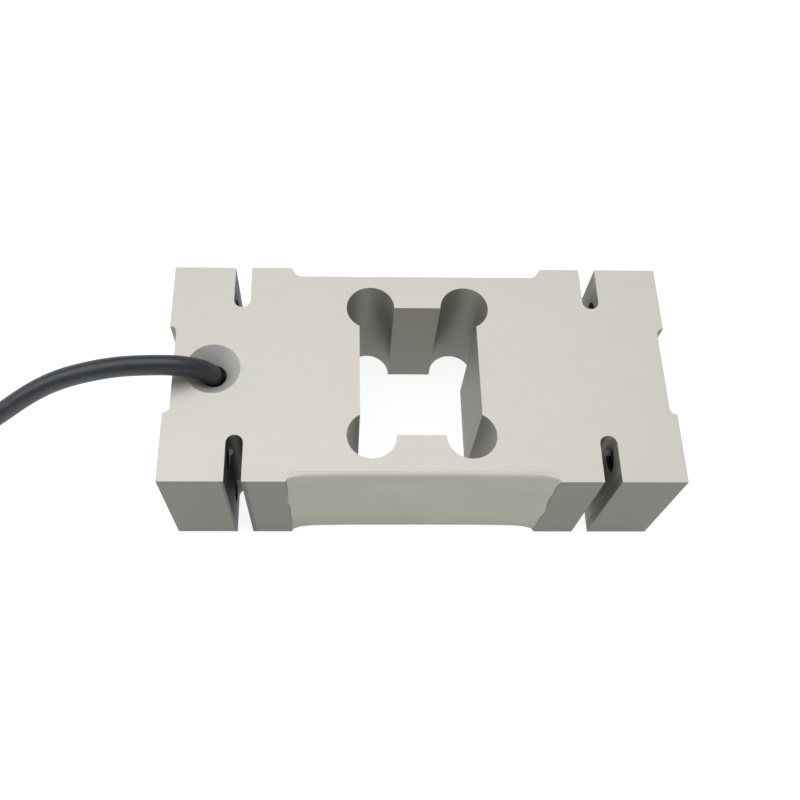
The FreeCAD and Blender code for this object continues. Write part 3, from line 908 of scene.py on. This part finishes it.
@dataclass
class FixingThread:
    """The cut thread of one M8 hole: a single ridge wound along the hole's wall."""

    pitch: float = 1.25 * MM
    minor_radius: float = 3.35 * MM
    root_radius: float = 4.02 * MM
    crest_flat: float = 0.16 * MM
    steps: int = 28

    def ridge(self, mesh: bmesh.types.BMesh, start: Vector, direction: float, length: float) -> None:
        """Adds one hole's ridge.

        Args:
            mesh: the mesh that it is added to.
            start: the middle of the hole's outer end.
            direction: the sign of X along which the hole runs inwards.
            length: the length of the thread.
        """
        half = self.pitch / 2
        crest = self.crest_flat / 2
        profile = ((-half, self.root_radius), (-crest, self.minor_radius), (crest, self.minor_radius),
                   (half, self.root_radius))
        verts = [mesh.verts.new(start + Vector((direction * (half + along), 0.0, radius)))
                 for along, radius in profile]
        face = mesh.faces.new(verts)
        turns = length / self.pitch - 1
        steps = int(turns * self.steps)
        shift = Vector((direction * self.pitch / self.steps, 0.0, 0.0))
        geometry = [face, *face.verts, *face.edges]
        bmesh.ops.spin(mesh, geom=geometry, cent=start, axis=(-direction, 0.0, 0.0), dvec=shift,
                       angle=2 * math.pi * steps / self.steps, steps=steps, use_duplicate=False)


@dataclass
class FixingThreads:
    """The threads of the eight fixing holes."""

    spacing_y: float = 50.0 * MM
    spacing_z: float = 25.0 * MM
    pad_thickness: float = 18.8 * MM
    lead_in: float = 0.5 * MM

    def build(self, book: FinishBook, thread: FixingThread) -> list[bpy.types.Object]:
        """Makes one piece for each end of the beam.

        Args:
            book: the finishes.
            thread: the thread that each hole has.

        Returns:
            The two pieces.
        """
        low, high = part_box("beam_body")
        middle = (low.z + high.z) / 2
        pieces = []
        for name, end_x in (("left", low.x), ("right", high.x)):
            inwards = math.copysign(1.0, -end_x)
            mesh = bmesh.new()
            for y in (-self.spacing_y / 2, self.spacing_y / 2):
                for z in (middle - self.spacing_z / 2, middle + self.spacing_z / 2):
                    start = Vector((end_x + inwards * self.lead_in, y, z))
                    thread.ridge(mesh, start, inwards, self.pad_thickness - self.lead_in)
            piece = into_piece(mesh, "threads_" + name, sharp_deg=30.0)
            book.dress(piece, "machined_aluminium", "shaded_cut_thread")
            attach(piece, "root")
            pieces.append(piece)
        return pieces


# ---------------------------------------------------------------- studio


@dataclass
class ProductCamera:
    """The camera: above the front edge, looking down and back."""

    place: Point = (-0.02328, -0.13313, 0.29168)
    aim: Point = (-0.01612, -0.00109, 0.02175)
    roll_deg: float = 3.007
    lens: float = 42.70
    shift_x: float = 0.0453
    shift_y: float = 0.0059

    def build(self) -> bpy.types.Object:
        """Makes the camera the scene's own and returns it."""
        data = bpy.data.cameras.new("product_camera")
        data.lens = self.lens
        data.sensor_width = 36.0
        data.shift_x = self.shift_x
        data.shift_y = self.shift_y
        data.clip_start = 0.01
        camera = bpy.data.objects.new("product_camera", data)
        bpy.context.scene.collection.objects.link(camera)
        facing = (Vector(self.aim) - Vector(self.place)).to_track_quat("-Z", "Y")
        camera.rotation_mode = "QUATERNION"
        camera.rotation_quaternion = facing @ Quaternion((0.0, 0.0, 1.0), math.radians(self.roll_deg))
        camera.location = self.place
        bpy.context.scene.camera = camera
        return camera


@dataclass(frozen=True)
class Softbox:
    """One rectangular lamp."""

    name: str
    place: Point
    aim: Point
    size: tuple[float, float]
    watts: float
    colour: Colour = (1.0, 1.0, 1.0)

    def build(self) -> bpy.types.Object:
        """Makes the lamp and returns it."""
        data = bpy.data.lights.new(self.name, "AREA")
        data.shape = "RECTANGLE"
        data.size, data.size_y = self.size
        data.energy = self.watts
        data.color = self.colour
        lamp = bpy.data.objects.new(self.name, data)
        bpy.context.scene.collection.objects.link(lamp)
        lamp.location = self.place
        lamp.rotation_mode = "QUATERNION"
        lamp.rotation_quaternion = (Vector(self.aim) - Vector(self.place)).to_track_quat("-Z", "Y")
        return lamp


@dataclass
class Studio:
    """A pale floor, a plain world and soft lamps."""

    floor_half: float = 12.0
    floor_glow: float = 0.88
    floor_lit_share: float = 0.30
    floor_grey: float = 0.50
    world: float = 0.40
    lamps: tuple[Softbox, ...] = (
        Softbox("overhead_softbox", (-0.05, 0.36, 1.1), (0.0, 0.0, 0.02), (1.5, 1.0), 7.4),
        Softbox("left_softbox", (-1.0, 0.0, 0.8), (0.0, 0.0, 0.02), (0.8, 0.8), 4.0),
        Softbox("front_fill", (0.1, -0.9, 0.28), (0.0, 0.0, 0.02), (0.9, 0.4), 0.6),
    )

    def floor_material(self) -> bpy.types.Material:
        """The floor: white to the eye and in reflections, with a faint shadow, pale grey as a light."""
        bench = Bench("pale_floor")
        path = bench.add("LightPath")
        seen = bench.sum(path.outputs["Is Camera Ray"], path.outputs["Is Glossy Ray"])
        seen = bench.sum(seen, path.outputs["Is Transmission Ray"])
        glow = bench.add("Emission")
        glow.inputs["Strength"].default_value = self.floor_glow
        soft = bench.add("BsdfDiffuse")
        soft.inputs["Color"].default_value = (*(self.floor_lit_share,) * 3, 1.0)
        shown = bench.add("AddShader")
        bench.join(glow.outputs[0], shown.inputs[0])
        bench.join(soft.outputs[0], shown.inputs[1])
        plain = bench.add("BsdfDiffuse")
        plain.inputs["Color"].default_value = (*(self.floor_grey,) * 3, 1.0)
        mix = bench.add("MixShader")
        bench.join(bench.span(seen, (0.0, 1.0), (0.0, 1.0)), mix.inputs[0])
        bench.join(plain.outputs[0], mix.inputs[1])
        bench.join(shown.outputs[0], mix.inputs[2])
        bench.join(mix.outputs[0], bench.output.inputs["Surface"])
        return bench.material

    def build(self) -> None:
        """Makes the floor, the world and the lamps, and sets the view transform."""
        mesh = bmesh.new()
        bmesh.ops.create_grid(mesh, x_segments=1, y_segments=1, size=self.floor_half)
        floor = into_piece(mesh, "floor", smooth=False)
        floor.data.materials.append(self.floor_material())
        world = bpy.data.worlds.new("plain_world")
        world.use_nodes = True
        backdrop = world.node_tree.nodes["Background"]
        backdrop.inputs["Color"].default_value = (self.world, self.world, self.world, 1.0)
        bpy.context.scene.world = world
        for lamp in self.lamps:
            lamp.build()
        bpy.context.scene.view_settings.view_transform = "Standard"


# ---------------------------------------------------------------- assembly


TIE_NODES = ("coil_tie_1", "coil_tie_2")
LEADS = (
    FlyingLead("red", 1.7 * MM, 0.0, 2),
    FlyingLead("black", 0.9 * MM, -1.2 * MM, 1),
    FlyingLead("green", 0.0, 1.2 * MM, 0),
    FlyingLead("white", -0.9 * MM, -1.2 * MM, -1),
    FlyingLead("shield", -1.7 * MM, 0.0, -2),
)


def main() -> None:
    """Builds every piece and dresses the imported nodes."""
    logging.basicConfig(level=logging.INFO, format="%(name)s: %(message)s")
    ProductCamera().build()
    book = FinishBook()
    signal_cable = SignalCable()
    cable = signal_cable.build(book)
    carried = []
    for node in TIE_NODES:
        carried.append(CableTie(node).build(book))
    for lead in LEADS:
        carried += lead.build(book, signal_cable)
    log.info("cable with %d pieces on it", len(carried))
    book.dress_nodes(frame["nodes"], frame["record"]["subparts"])
    low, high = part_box("beam_body")
    for side in Side:
        potting = GaugePotting(side)
        node = "potting_" + side.name.lower()
        piece = potting.build(book, node, high.y - potting.recess_depth, high.z - low.z)
        log.info("%s: %d faces", piece.name, len(piece.data.polygons))
    for piece in FixingThreads().build(book, FixingThread()):
        log.info("%s: %d faces", piece.name, len(piece.data.polygons))
    Studio().build()


if __name__ == "__main__":
    main()
